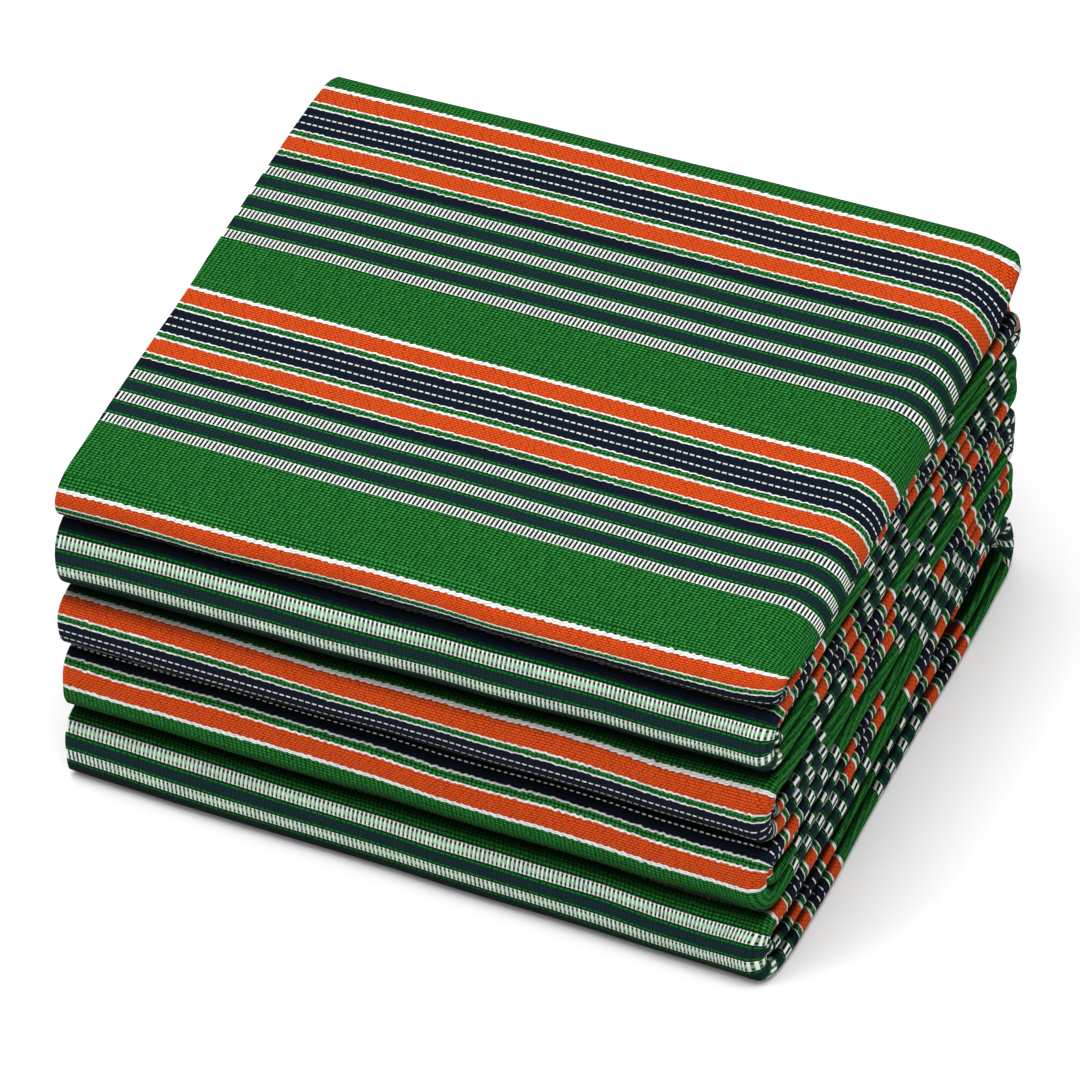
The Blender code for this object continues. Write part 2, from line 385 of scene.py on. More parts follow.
def bend_stations(arm, begin_along, marks):
    y_bend, z_bend, radius, outer = bend_after(arm)
    out = 1 if y_bend > 0 else -1
    climbs = arm in (0, ARMS)
    side = 1 if climbs or out < 0 else -1
    rows = [arm_row(a, y_bend) for a in (arm, arm + 1)]
    length = SQUARE_LONGER * math.pi * outer
    stations = []
    for along in split(begin_along, begin_along + length, BEND_STEPS, marks):
        share = (along - begin_along) / length
        angle = math.pi * share
        sine, cosine = out * math.sin(angle), math.cos(angle) * (-1 if climbs else 1)
        pressed = smooth((share - 0.4) / 0.3) if arm in (1, ARMS - 1) else 0
        power = mix(TOP_BEND if arm == 1 else ROUND_BEND, PRESSED_BEND, pressed)
        square = (abs(sine) ** power + abs(cosine) ** power) ** (-1 / power)
        row = {key: mix(rows[0][key], rows[1][key], share) for key in rows[0]}
        across = (side * sine * square, side * cosine * square)
        place = (y_bend + radius * sine * square, z_bend + radius * cosine * square)
        stations.append(dict(zip(STATION, (*place, across, arm_thickness(y_bend), row, along))))
    return stations


def on_front_bend(along, bends, shown=1.0):
    """True on a front bend, as far round it as the share that is shown."""
    for arm in range(1, ARMS, 2):
        length = SQUARE_LONGER * math.pi * bend_after(arm)[3]
        if bends[arm] < along < bends[arm] + shown * length:
            return True
    return False


def band_stations(marks):
    """All stations of the band, each arm and each bend sharing its ends with its neighbours."""
    stations = []
    along = 0.0
    bends = {}
    for arm in range(ARMS + 2):
        made = arm_stations(arm, along, marks)
        stations += made if arm == 0 else made[1:]
        along = made[-1]["along"]
        if arm <= ARMS:
            bends[arm] = along
            made = bend_stations(arm, along, marks)
            stations += made[1:]
            along = made[-1]["along"]
    return stations, bends


# %% [markdown]
# ## The section across the band
#
# The four layers are one sheet that turns back on itself: round the two rolls on the right, round the single
# fold between them on the left. Its middle line is drawn first, and the ring of points runs along one face
# of it and back along the other.

# %% The section of the band
FLAT_STEPS = 12
FOLD_STEPS = 8
FAT_STEPS = 8
THIN_STEPS = 3
EDGE_STEPS = 4


def roll_line(pitch, middle, centre, radius, tip, hang, steps):
    """Middle line (x, n, nx, nn) of one right roll, from its first layer, round its tip, to its second."""
    angle = max(HANG_ANGLE * hang, 1e-6)
    arc_radius = HANG_ARC / angle
    straight = ROLL_LENGTH - HANG_ARC
    reach = arc_radius * math.sin(angle) + straight * math.cos(angle)
    root = tip - THICKNESS / 2 - radius - reach
    spine = []
    for along in [HANG_ARC * step / steps for step in range(steps + 1)] + [ROLL_LENGTH]:
        turn = angle * min(along / HANG_ARC, 1)
        past = max(along - HANG_ARC, 0)
        x = root + arc_radius * math.sin(turn) + past * math.cos(turn)
        drop = arc_radius * (1 - math.cos(turn)) + past * math.sin(turn)
        swell = smooth(along / ROLL_LENGTH)
        spine.append((x, mix(middle, centre, swell) - drop, turn, mix(pitch / 2, radius, swell)))
    out = [(x + h * math.sin(t), n + h * math.cos(t), math.sin(t), math.cos(t)) for x, n, t, h in spine]
    back = [(x - h * math.sin(t), n - h * math.cos(t), -math.sin(t), -math.cos(t)) for x, n, t, h in spine]
    x, n, turn, half = spine[-1]
    angles = [math.pi / 2 - turn - math.pi * step / FOLD_STEPS for step in range(1, FOLD_STEPS)]
    cap = [(x + half * math.cos(a), n + half * math.sin(a), math.cos(a), math.sin(a)) for a in angles]
    return out + cap + back[::-1]


def flat_run(begin, end):
    """The points between two ends of a flat layer, without the ends."""
    return [tuple(mix(a, b, step / FLAT_STEPS) for a, b in zip(begin, end)) for step in range(1, FLAT_STEPS)]


def section(thickness, row):
    """Outline (x, n, run, nx, nn) of the four layers, with the run along the cloth and the way it faces."""
    pitch = thickness / LAYERS
    spread = row["room"] / 4
    right = WIDTH / 2
    half = THICKNESS / 2
    edge = row["left_edge"] * MM - WIDTH / 2 + half
    fold = row["left_fold"] * MM - WIDTH / 2 + half + pitch / 2
    fat = roll_line(pitch, pitch, row["centre"] * pitch, row["radius"] * pitch,
                    right - row["fat"] * MM, row["hang"], FAT_STEPS)
    thin = roll_line(pitch, -pitch, THIN_ROLL_CENTRE * pitch - spread, THIN_ROLL_RADIUS * pitch + spread,
                     right - row["thin"] * MM, 0.0, THIN_STEPS)
    left = []
    for step in range(FOLD_STEPS + 1):
        angle = math.pi / 2 + math.pi * step / FOLD_STEPS
        across, up = math.cos(angle), math.sin(angle)
        left.append((fold + pitch / 2 * across, pitch / 2 * up, -across, -up))
    first, last = (edge, 1.5 * pitch, 0.0, 1.0), (edge, -1.5 * pitch, 0.0, -1.0)
    line = [first] + flat_run(first, fat[0]) + fat + flat_run(fat[-1], left[0]) + left
    line += flat_run(left[-1], thin[0]) + thin + flat_run(thin[-1], last) + [last]
    runs = [0.0]
    for (x, n, _, _), (x_next, n_next, _, _) in zip(line, line[1:]):
        runs.append(runs[-1] + math.hypot(x_next - x, n_next - n))
    outside = [(x + half * nx, n + half * nn, run, nx, nn) for (x, n, nx, nn), run in zip(line, runs)]
    inside = [(x - half * nx, n - half * nn, run, -nx, -nn) for (x, n, nx, nn), run in zip(line, runs)]
    ends = []
    for (x, n, _, side), run in ((line[-1], runs[-1]), (line[0], runs[0])):
        turns = [math.pi * step / EDGE_STEPS for step in range(1, EDGE_STEPS)]
        ends.append([(x - half * math.sin(t), n + side * half * math.cos(t), run, -1.0, 0.0) for t in turns])
    return outside + ends[0] + inside[::-1] + ends[1][::-1]


# %% [markdown]
# ## From the even stack to the real one
#
# Real layers don't lie evenly. Instead of disturbing each layer by itself, which would push one through
# another, the whole space of the stack is bent a little: every layer follows, and neighbours stay
# neighbours. The top bundle is flatter than the four below it, the stack is higher at the back right, and
# slow noise makes the rolls and the bends wander. The right front and the left back corner are drawn in.

# %% Settling
WANDER = 0.9 * MM
WANDER_LENGTH = 38 * MM


def wander(x, y, z):
    return noise.noise(Vector((x, y, z)) / WANDER_LENGTH)


def drawn_in(x, y):
    """How far the rounding of the two sides moves a point to the left. On the left side it is negative."""
    near_right = max((x - WIDTH / 2) / RIGHT_WIDTH + 1, 0.0)
    near_left = max((-x - WIDTH / 2) / LEFT_WIDTH + 1, 0.0)
    place = place_of(y)
    return (near_right * read_line(RIGHT_ALONG, place) - near_left * read_line(LEFT_ALONG, place)) * MM


def settled(x, y, z):
    """The even stack's point, moved to where it lies."""
    from_left = min(max(x / WIDTH + 0.5, 0), 1)
    from_front = min(max(place_of(y), 0), 1)
    even = EVEN_HEIGHT - 2 * slack_under(y)
    share = z / even
    creased = mix(read_line(CREASES_LEFT, share), read_line(CREASES_RIGHT, share), from_left)
    level = mix(creased, share, from_front)
    height = mix(mix(*HEIGHT_FRONT, from_left), mix(*HEIGHT_BACK, from_left), from_front)
    lift = level * height
    free = smooth(share / 0.15) * smooth((1.02 - share) / 0.15)
    side, front = x / (WIDTH / 2), y / (DEPTH / 2)
    x_moved = x - drawn_in(x, y) + WANDER * side ** 3 * (wander(0.3, y, 2.5 * z) - 0.5)
    y_moved = y + WANDER * front ** 3 * (wander(x, 0.7, 2.5 * z) - 0.5)
    z_moved = lift + WANDER * free * wander(x, y, 2 * z + 0.2)
    return x_moved, y_moved, z_moved

# %% [markdown]
# ## The sheet
#
# The rings of the loft are joined by quads. The UV map is the cloth laid flat: U is the run across the four
# layers, in metres, and V is the place inside the strip, counted from the strip's first white line. Each
# strip is woven by itself, so its threads don't line up with its neighbour's, and the UV map jumps there.
#
# Three attributes help the material. A face knows how many rows of rungs its strip has, and whether it lies
# on a front bend. A point carries how much painted shade darkens it in a crease, from how far the cloth faces
# up or down there.

# %% The sheet's mesh
STRIP_SHIFT = 0.61 * MM
SLIP = 4 * MM
INNER_RUN = 0.5
WAVER = 0.7 * MM
WAVER_LENGTH = 45 * MM
OUTER_RUN = (1.2 * MM, 0.246)
TOP_SHARE = 0.08


def waver(index, run):
    """How far a stripe strays from its straight line, because the strip was woven and sewn by hand."""
    return WAVER * noise.noise(Vector((run / WAVER_LENGTH, 3.1 * index, 0.4)))


def strip_place(strip, index, x, run, along):
    """UV coordinates of one corner that belongs to a strip."""
    width = strip["ends"] - strip["begins"]
    place = strip["ends"] - along if strip["turned"] else along - strip["begins"]
    place += x * strip["slant"] * (1 if strip["turned"] else -1)
    share = min(max(place / width, 0), 1)
    slip = SLIP * math.sin(2.3 * index + 0.6) * 4 * share * (1 - share)
    place += slip * smooth((run - INNER_RUN) / 0.05) + waver(index, run)
    return run + index * STRIP_SHIFT, place * strip["scale"]


def depth_in_crease(up):
    """How much painted crease shade a point gets, from 0 to 1, from how far it faces up or down."""
    return smooth((-up - 0.15) / 0.75) if up < 0 else smooth((up - 0.7) / 0.3)


def sheet_points(stations, bends):
    """The points of all rings, their runs, and the painted crease shade of each. The top is out in the open.
    """
    points, runs, depths = [], [], []
    for station in stations:
        ring = section(station["thickness"], station["row"])
        across_y, across_z = station["across"]
        top = bends[0] < station["along"] < bends[1] + TOP_SHARE * (bends[2] - bends[1])
        for x, n, run, nx, nn in ring:
            points.append(settled(x, station["y"] + n * across_y, station["z"] + n * across_z))
            # Painted crease shade: a point darkens as it faces up or down, except on the open top.
            open_top = top and nn * across_z > 0 and run < INNER_RUN
            depths.append(0.0 if open_top else depth_in_crease(nn * across_z))
        runs.append([row[2] for row in ring])
    return points, runs, depths


def folded_sheet(strips, stations, bends, points, runs, depths):
    count = len(runs[0])
    faces, uvs, rows, front = [], [], [], []
    for s, (low, high) in enumerate(zip(stations, stations[1:])):
        middle = (low["along"] + high["along"]) / 2
        index = sum(strip["mark"] <= middle for strip in strips[1:])
        for i in range(count):
            j = (i + 1) % count
            corners = ((s, i), (s, j), (s + 1, j), (s + 1, i))
            faces.append([ring * count + k for ring, k in corners])
            for ring, k in corners:
                x = points[ring * count + k][0]
                uvs.append(strip_place(strips[index], index, x, runs[ring][k], stations[ring]["along"]))
            rows.append(strips[index]["rows"])
            front.append(on_front_bend(middle, bends))
    half = (count - 2 * (EDGE_STEPS - 1)) // 2
    for ring in (0, len(stations) - 1):
        far = 2 * half + EDGE_STEPS - 2
        ends = [(i, i + 1, far - 1 - i, far - i) for i in range(half - 1)]
        ends += [range(half - 1, half + EDGE_STEPS), (*range(far, count), 0)]
        for end in ends:
            faces.append([ring * count + k for k in end])
            uvs += [(0.0, 0.1)] * len(end)
            rows.append(4)
            front.append(False)
    mesh = bpy.data.meshes.new("folded_sheet")
    mesh.from_pydata(points, [], faces)
    mesh.uv_layers.new(name="strips").data.foreach_set("uv", [value for uv in uvs for value in uv])
    mesh.attributes.new("rows", "FLOAT", "FACE").data.foreach_set("value", rows)
    mesh.attributes.new("front", "FLOAT", "FACE").data.foreach_set("value", front)
    # The painted crease shade, one value for each point.
    mesh.attributes.new("depth", "FLOAT", "POINT").data.foreach_set("value", depths)
    shape = bmesh.new()
    shape.from_mesh(mesh)
    if shape.calc_volume(signed=True) < 0:
        bmesh.ops.reverse_faces(shape, faces=shape.faces)
    shape.to_mesh(mesh)
    area = sum(face.calc_area() for face in shape.faces)
    shape.free()
    mesh.shade_smooth()
    print("sheet:", len(points), "points,", len(faces), "faces,", round(area / 2, 3), "m2 a side")
    return mesh


STRIPS = strips_of(STRIP_ROWS)
STATIONS, BENDS = band_stations([strip["mark"] for strip in STRIPS])
POINTS, RUNS, CREASE_SHADES = sheet_points(STATIONS, BENDS)
sheet = bpy.data.objects.new("cloth_sheet", folded_sheet(STRIPS, STATIONS, BENDS, POINTS, RUNS, CREASE_SHADES))
bpy.context.scene.collection.objects.link(sheet)

# %% [markdown]
# ## Node helpers
#
# The stripes and the weave are drawn by arithmetic on the UV coordinates, so that they stay sharp at any
# distance and need no picture. Small helpers with short names keep the long chains of Math nodes readable.
# A socket knows which node tree it belongs to, so a helper finds the tree in the sockets it is given.

# %% Node helpers


def feed(sockets_and_values):
    """Links each socket to its value if the value is a socket, and else sets it."""
    for socket, value in sockets_and_values:
        if isinstance(value, bpy.types.NodeSocket):
            socket.id_data.links.new(value, socket)
        else:
            socket.default_value = value


def tree_of(values):
    return next(value.id_data for value in values if isinstance(value, bpy.types.NodeSocket))


def math_node(operation, *values, clamp=False):
    """A Math node whose inputs are sockets or numbers. Returns its output socket."""
    node = tree_of(values).nodes.new("ShaderNodeMath")
    node.operation = operation
    node.use_clamp = clamp
    feed(zip(node.inputs, values))
    return node.outputs[0]


plus, minus = partial(math_node, "ADD"), partial(math_node, "SUBTRACT")
times, over = partial(math_node, "MULTIPLY"), partial(math_node, "DIVIDE")
times_plus, larger = partial(math_node, "MULTIPLY_ADD"), partial(math_node, "MAXIMUM")


def soft_step(value, soft):
    """A mask that climbs from 0 to 1 where the value passes zero, over the distance soft."""
    return plus(over(value, soft), 0.5, clamp=True)


def mix_colour(share, low, high):
    """A colour mix. The share is a socket, the two colours are sockets or (r, g, b)."""
    node = share.id_data.nodes.new("ShaderNodeMix")
    node.data_type = "RGBA"
    low, high = (value if isinstance(value, bpy.types.NodeSocket) else (*value, 1) for value in (low, high))
    feed(((node.inputs["Factor"], share), (node.inputs[6], low), (node.inputs[7], high)))
    return node.outputs[2]


def noise_value(vector, scale, detail):
    node = vector.id_data.nodes.new("ShaderNodeTexNoise")
    node.noise_dimensions = "2D"
    feed(((node.inputs["Vector"], vector), (node.inputs["Scale"], scale), (node.inputs["Detail"], detail)))
    return node.outputs[0]


def new_group(name, inputs, outputs):
    """A shader node group with number sockets. Returns its tree, its inputs by name and its output node."""
    tree = bpy.data.node_groups.new(name, "ShaderNodeTree")
    for socket_name, value in inputs:
        socket = tree.interface.new_socket(socket_name, in_out="INPUT", socket_type="NodeSocketFloat")
        socket.default_value = value
    for socket_name in outputs:
        tree.interface.new_socket(socket_name, in_out="OUTPUT", socket_type="NodeSocketFloat")
    inside = tree.nodes.new("NodeGroupInput")
    return tree, inside.outputs, tree.nodes.new("NodeGroupOutput")


def use_group(group, **values):
    """Places a group, with a socket or a number for each of its inputs. Returns its outputs."""
    node = tree_of(values.values()).nodes.new("ShaderNodeGroup")
    node.node_tree = group
    feed((node.inputs[name], value) for name, value in values.items())
    return node.outputs


# %% [markdown]
# ## Three effects that repeat
#
# A line group draws one stripe between two places. A dash group breaks a line into dashes. A bead group draws
# the little floats where one yarn passes over another, in rows. Its Shift says how far each row is moved
# against the row before it: half a bead gives the brick pattern of plain weave, and nearly none gives the
# ribs of the green fields.

# %% Groups for lines, dashes and beads
DASH_SOFT = 0.12
BEAD_STRAYS = 0.2


def line_group():
    inputs = (("Place", 0), ("From", 0), ("To", 1), ("Soft", 0.15))
    tree, given, made = new_group("line", inputs, ("Mask",))
    begins = soft_step(minus(given["Place"], given["From"]), given["Soft"])
    ends = soft_step(minus(given["To"], given["Place"]), given["Soft"])
    tree.links.new(times(begins, ends), made.inputs["Mask"])
    return tree


def dash_group():
    inputs = (("Run", 0), ("Pitch", 2.5), ("Length", 0.66), ("Wander", 0.2), ("Seed", 0))
    tree, given, made = new_group("dashes", inputs, ("Mask",))
    place = plus(over(given["Run"], given["Pitch"]), given["Seed"])
    cell = math_node("FLOOR", place)
    chance = tree.nodes.new("ShaderNodeTexWhiteNoise")
    chance.noise_dimensions = "1D"
    tree.links.new(plus(cell, given["Seed"]), chance.inputs["W"])
    shift = times(minus(chance.outputs["Value"], 0.5), given["Wander"])
    middle = minus(minus(place, cell), 0.5)
    away = math_node("ABSOLUTE", plus(middle, shift))
    half = times(given["Length"], 0.5)
    tree.links.new(soft_step(minus(half, away), DASH_SOFT), made.inputs["Mask"])
    return tree


def bead_group():
    inputs = (("Run", 0), ("Place", 0), ("Pitch", 1.62), ("Row", 1.15), ("Shift", 0.5), ("Long", 0.46),
              ("Wide", 0.42))
    tree, given, made = new_group("beads", inputs, ("Height", "Random"))
    rows = over(given["Place"], given["Row"])
    row = math_node("FLOOR", rows)
    shifted = times(row, given["Shift"])
    columns = plus(over(given["Run"], given["Pitch"]), shifted)
    column = math_node("FLOOR", columns)
    cell = tree.nodes.new("ShaderNodeCombineXYZ")
    tree.links.new(column, cell.inputs[0])
    tree.links.new(row, cell.inputs[1])
    chance = tree.nodes.new("ShaderNodeTexWhiteNoise")
    chance.noise_dimensions = "2D"
    tree.links.new(cell.outputs[0], chance.inputs["Vector"])
    strays = times_plus(chance.outputs["Value"], BEAD_STRAYS, -0.5 - BEAD_STRAYS / 2)
    across = over(plus(minus(columns, column), strays), given["Long"])
    up = over(minus(minus(rows, row), 0.5), given["Wide"])
    far = plus(times(across, across), times(up, up))
    height = math_node("SQRT", minus(1, far, clamp=True))
    tree.links.new(height, made.inputs["Height"])
    tree.links.new(chance.outputs["Value"], made.inputs["Random"])
    return tree


LINE, DASHES, BEADS = line_group(), dash_group(), bead_group()
print("groups", [group.name for group in bpy.data.node_groups])

# %% [markdown]
# ## The stripes
#
# The order of the warp is one short table, in millimetres from the strip's first white line. What no line
# covers is navy. The rows of rungs repeat in a unit of their own, and the green field fills the rest. A
# stripe's edge isn't quite straight, and the white lines are jagged, because their thick yarn is twisted.

# %% Stripes of one strip
STRIPES = (
    ("white", 0.0, 1.5), ("orange", 1.5, 8.3), ("white", 8.3, 9.1), ("green", 9.1, 11.3),
    ("white", 11.3, 12.0), ("white", 23.3, 23.9), ("green", 23.9, 26.1), ("white", 26.1, 27.2),
    ("orange", 27.2, 33.9), ("white", 33.9, 34.6), ("green", 34.6, 36.7), ("white", 36.7, 37.2),
)
STRIPE_SOFT = 0.16
UNEVEN = 0.9
JAG = 0.28
JAG_LENGTH = 2.6


def line_mask(place, begin, end, soft):
    return use_group(LINE, Place=place, From=begin, To=end, Soft=soft)["Mask"]


def places(tree):
    """Sockets for the place on a strip, in millimetres: exact, uneven as woven by hand, and jagged."""
    uv = tree.nodes.new("ShaderNodeUVMap")
    uv.uv_map = "strips"
    scaled = tree.nodes.new("ShaderNodeVectorMath")
    scaled.operation = "SCALE"
    scaled.inputs["Scale"].default_value = 1 / MM
    tree.links.new(uv.outputs[0], scaled.inputs[0])
    parts = tree.nodes.new("ShaderNodeSeparateXYZ")
    tree.links.new(scaled.outputs[0], parts.inputs[0])
    at = {"plane": scaled.outputs[0], "run": parts.outputs["X"], "straight": parts.outputs["Y"]}
    strays = times_plus(noise_value(at["plane"], 0.45, 2), UNEVEN, -UNEVEN / 2)
    at["place"] = plus(at["straight"], strays)
    teeth = math_node("PINGPONG", at["run"], JAG_LENGTH / 2)
    jagged = times_plus(teeth, 2 * JAG / JAG_LENGTH, at["place"])
    at["jagged"] = minus(jagged, JAG / 2)
    # The third attribute holds the painted crease shade.
    for name in ("rows", "front", "depth"):
        node = tree.nodes.new("ShaderNodeAttribute")
        node.attribute_name = name
        at[name] = node.outputs["Fac"]
    return at


def masks_by_yarn(at):
    """One mask for each yarn that STRIPES names."""
    masks = {}
    for yarn, begin, end in STRIPES:
        mask = line_mask(at["jagged" if yarn == "white" else "place"], begin, end, STRIPE_SOFT)
        masks[yarn] = larger(masks[yarn], mask) if yarn in masks else mask
    return masks


# %% [markdown]
# ## Ladders and dashes
#
# Each row of rungs is a ladder: white with dark bars between the rungs, which lean a little. Round the front
# bends a light green thread shows in the middle of the bars. A dark green edge with fine green dashes runs
# along both sides of a ladder. The dashed white lines lie in the navy band between the two orange stripes.

# %% Ladders, their edges and the dashed lines
FIRST_RUNGS = 43.0
RUNG_UNIT = 10.95
RUNG_LENGTH = 4.15
RUNG_PITCH = 1.52
RUNG_MARGIN = 2.2
RUNG_LEAN = 0.06
ZONE_PAST_RUNGS = 0.3
SCALLOP = 0.5
SCALLOP_TIP = 0.05
BAR_FROM_RUNG = 0.25
BAR_MARGIN = 0.3
TINT_MARGIN = 1.3
EDGE_BAND = (-0.1, 1.5, 0.3)
EDGE_LINE = (0.75, 1.2, 0.15)
EDGE_DASHES = {"Pitch": 2.1, "Length": 0.75, "Wander": 0.15, "Seed": 0.3}
DASHED = ((15.55, 16.15, 0.1), (19.4, 20.0, 0.55))
DASH_PITCH = 2.33
DASH_SHARE = 0.66


def zone_and_green(at, masks):
    """Masks of the zone that the ladders lie in, and of all that is green."""
    rows_end = FIRST_RUNGS - RUNG_UNIT + RUNG_LENGTH + ZONE_PAST_RUNGS
    zone_end = times_plus(at["rows"], RUNG_UNIT, rows_end)
    zone = line_mask(at["place"], FIRST_RUNGS - RUNG_MARGIN, zone_end, 0.1)
    field = soft_step(minus(at["place"], zone_end), STRIPE_SOFT)
    before = soft_step(times(at["place"], -1), STRIPE_SOFT)
    return zone, larger(larger(field, before), masks["green"])


def ladder_masks(at, zone):
    """The place inside a ladder's unit, and masks of the ladder, of its bars and of their green tint."""
    in_unit = plus(at["straight"], RUNG_MARGIN - FIRST_RUNGS)
    in_unit = math_node("FLOORED_MODULO", in_unit, RUNG_UNIT)
    in_unit = minus(in_unit, RUNG_MARGIN)
    leaning = times_plus(in_unit, RUNG_LEAN, at["run"])
    in_pitch = math_node("FRACT", over(leaning, RUNG_PITCH))
    from_rung = math_node("ABSOLUTE", minus(in_pitch, 0.5))
    scallop = times(from_rung, SCALLOP)
    low_edge = minus(scallop, SCALLOP_TIP)
    high_edge = minus(RUNG_LENGTH + SCALLOP_TIP, scallop)
    ladder = times(line_mask(in_unit, low_edge, high_edge, 0.12), zone)
    bar = soft_step(minus(from_rung, BAR_FROM_RUNG), 0.1)
    bar = times(bar, line_mask(in_unit, BAR_MARGIN, RUNG_LENGTH - BAR_MARGIN, 0.25))
    tint = times_plus(noise_value(at["plane"], 0.1, 1), 1.6, -0.1)
    tint = times(tint, at["front"], clamp=True)
    tint = times(tint, line_mask(in_unit, TINT_MARGIN, RUNG_LENGTH - TINT_MARGIN, 0.5))
    return in_unit, ladder, bar, tint


def edge_masks(at, in_unit, zone):
    """Masks of the dark green along a ladder, and of the fine green dashes in it."""
    masks = []
    for near, far, soft in (EDGE_BAND, EDGE_LINE):
        below = line_mask(in_unit, -far, -near, soft)
        above = line_mask(in_unit, RUNG_LENGTH + near, RUNG_LENGTH + far, soft)
        masks.append(times(larger(below, above), zone))
    dashes = use_group(DASHES, Run=at["run"], **EDGE_DASHES)["Mask"]
    return masks[0], times(masks[1], dashes)


def dashed_mask(at):
    masks = []
    for begin, end, seed in DASHED:
        line = line_mask(at["straight"], begin, end, 0.18)
        dashes = use_group(DASHES, Run=at["run"], Pitch=DASH_PITCH, Length=DASH_SHARE, Wander=0, Seed=seed)
        masks.append(times(line, dashes["Mask"]))
    return larger(*masks)


# %% [markdown]
# ## Yarns and weave
#
# Every yarn has a dark colour, for the gaps, and a light one, for the tops of its floats. The floats' height
# goes from one to the other, and it also drives the bump. The dark colour is painted shade between the
# floats, where the threads below also show, and the green floats get a painted highlight on their tops. Deep
# in a crease the cloth is nearly black on the real stack, more than real shadows alone make it here, so a
# painted crease shade, kept in the mesh for each point, darkens it further.

# %% The woven material
# Each yarn's dark colour is painted shade in the gaps between floats, where the threads below also show.
YARN = {
    "navy": ((0.002, 0.004, 0.010), (0.006, 0.011, 0.022)),
    "teal": ((0.003, 0.010, 0.014), (0.010, 0.028, 0.032)),
    "green": ((0.000, 0.016, 0.000), (0.024, 0.235, 0.040)),
    "orange": ((0.170, 0.012, 0.001), (0.590, 0.068, 0.010)),
    "white": ((0.200, 0.220, 0.190), (0.760, 0.770, 0.740)),
}
RUNG_WHITE = (0.74, 0.78, 0.73)
DARK_BAR = (0.004, 0.010, 0.010)
GREEN_BAR = (0.20, 0.52, 0.24)
EDGE_DARK = (0.001, 0.026, 0.004)
EDGE_DASH = (0.006, 0.170, 0.022)
# The colour of the painted crease shade, and how far it goes at its deepest.
CREASE_SHADE_COLOUR = (0.0, 0.001, 0.0)
DEEPEST_SHADE = 0.93
BEADS_OF = {
    "green": {"Pitch": 1.54, "Row": 1.15, "Shift": 0.07, "Long": 0.58, "Wide": 0.50},
    "orange": {"Pitch": 1.54, "Row": 0.95, "Shift": 0.50, "Long": 0.57, "Wide": 0.52},
    "white": {"Pitch": 2.60, "Row": 0.75, "Shift": 0.50, "Long": 0.58, "Wide": 0.56},
}
TWIST = 1.6
BUMP_HEIGHT = 0.25 * MM


def yarn_colours(at, beads):
    """The colour of each yarn, from the height of its floats, with painted shade low between them, a painted
    highlight on the green tops, and a slow change of tone.
    """
    tone = times_plus(noise_value(at["plane"], 0.25, 3), 0.5, 0.75)
    # Painted highlight: a narrow bright streak along the top of each green float.
    light = times_plus(beads["green"]["Random"], 0.5, 0.3)
    light = times(math_node("POWER", beads["green"]["Height"], 7), light)
    dark_share = times(beads["green"]["Height"], 0.7)
    shares = {
        "navy": dark_share,
        "teal": dark_share,
        "green": times_plus(beads["green"]["Height"], 0.45, light),
        "orange": times_plus(beads["orange"]["Height"], 1.5, -0.15),
        "white": times_plus(beads["white"]["Height"], 0.9, 0.25),
    }
    return {yarn: mix_colour(times(share, tone, clamp=True), *YARN[yarn]) for yarn, share in shares.items()}


def woven_material():
    material = bpy.data.materials.new("woven cloth")
    material.use_nodes = True
    tree = material.node_tree
    shader = tree.nodes["Principled BSDF"]
    at = places(tree)
    masks = masks_by_yarn(at)
    zone, green = zone_and_green(at, masks)
    in_unit, ladder, bar, tint = ladder_masks(at, zone)
    edge_band, edge_dashes = edge_masks(at, in_unit, zone)
    white_dashes = dashed_mask(at)

    twisted = times_plus(at["place"], TWIST, at["run"])
    where = {yarn: {"Run": at["run"], "Place": at["straight"]} for yarn in ("green", "orange")}
    where["white"] = {"Run": twisted, "Place": at["jagged"]}
    beads = {yarn: use_group(BEADS, **where[yarn], **BEADS_OF[yarn]) for yarn in BEADS_OF}
    yarns = yarn_colours(at, beads)

    colour = yarns["navy"]
    for mask, paint in (
        (zone, yarns["teal"]), (green, yarns["green"]), (masks["orange"], yarns["orange"]),
        (masks["white"], yarns["white"]), (white_dashes, YARN["white"][1]), (edge_band, EDGE_DARK),
        (edge_dashes, EDGE_DASH), (ladder, RUNG_WHITE),
        (times(ladder, bar), mix_colour(tint, DARK_BAR, GREEN_BAR)),
        # Painted crease shade: the colour goes nearly black where the point's shade value is high.
        (times(at["depth"], DEEPEST_SHADE), CREASE_SHADE_COLOUR),
    ):
        colour = mix_colour(mask, colour, paint)
    tree.links.new(colour, shader.inputs["Base Color"])

    rungs = times(ladder, minus(1.3, bar))
    raised = larger(rungs, white_dashes)
    for yarn, mask in (("green", green), ("orange", masks["orange"]), ("white", masks["white"])):
        raised = plus(raised, times(beads[yarn]["Height"], mask))
    bump = tree.nodes.new("ShaderNodeBump")
    bump.inputs["Strength"].default_value = 0.8
    bump.inputs["Distance"].default_value = BUMP_HEIGHT
    tree.links.new(raised, bump.inputs["Height"])
    tree.links.new(bump.outputs[0], shader.inputs["Normal"])
    shader.inputs["Roughness"].default_value = 0.9
    shader.inputs["Specular IOR Level"].default_value = 0.05
    print("woven cloth:", len(tree.nodes), "nodes")
    return material


sheet.data.materials.append(woven_material())

# %% [markdown]
# ## Where the raised threads lie
#
# The white rungs are floats: stretches where a thick white thread passes over several others, so that they
# stand out of the cloth. The white dashes on navy are smaller floats that run along the stripes. They are
# made as real little shapes wherever the cloth's outer side is in full view, on the top and round the front
# bends. A place on the sheet is found as on a map: the run across the layers gives the column, the place in
# the strip gives the row, and the point lies between the four corners of the mesh that are nearest.

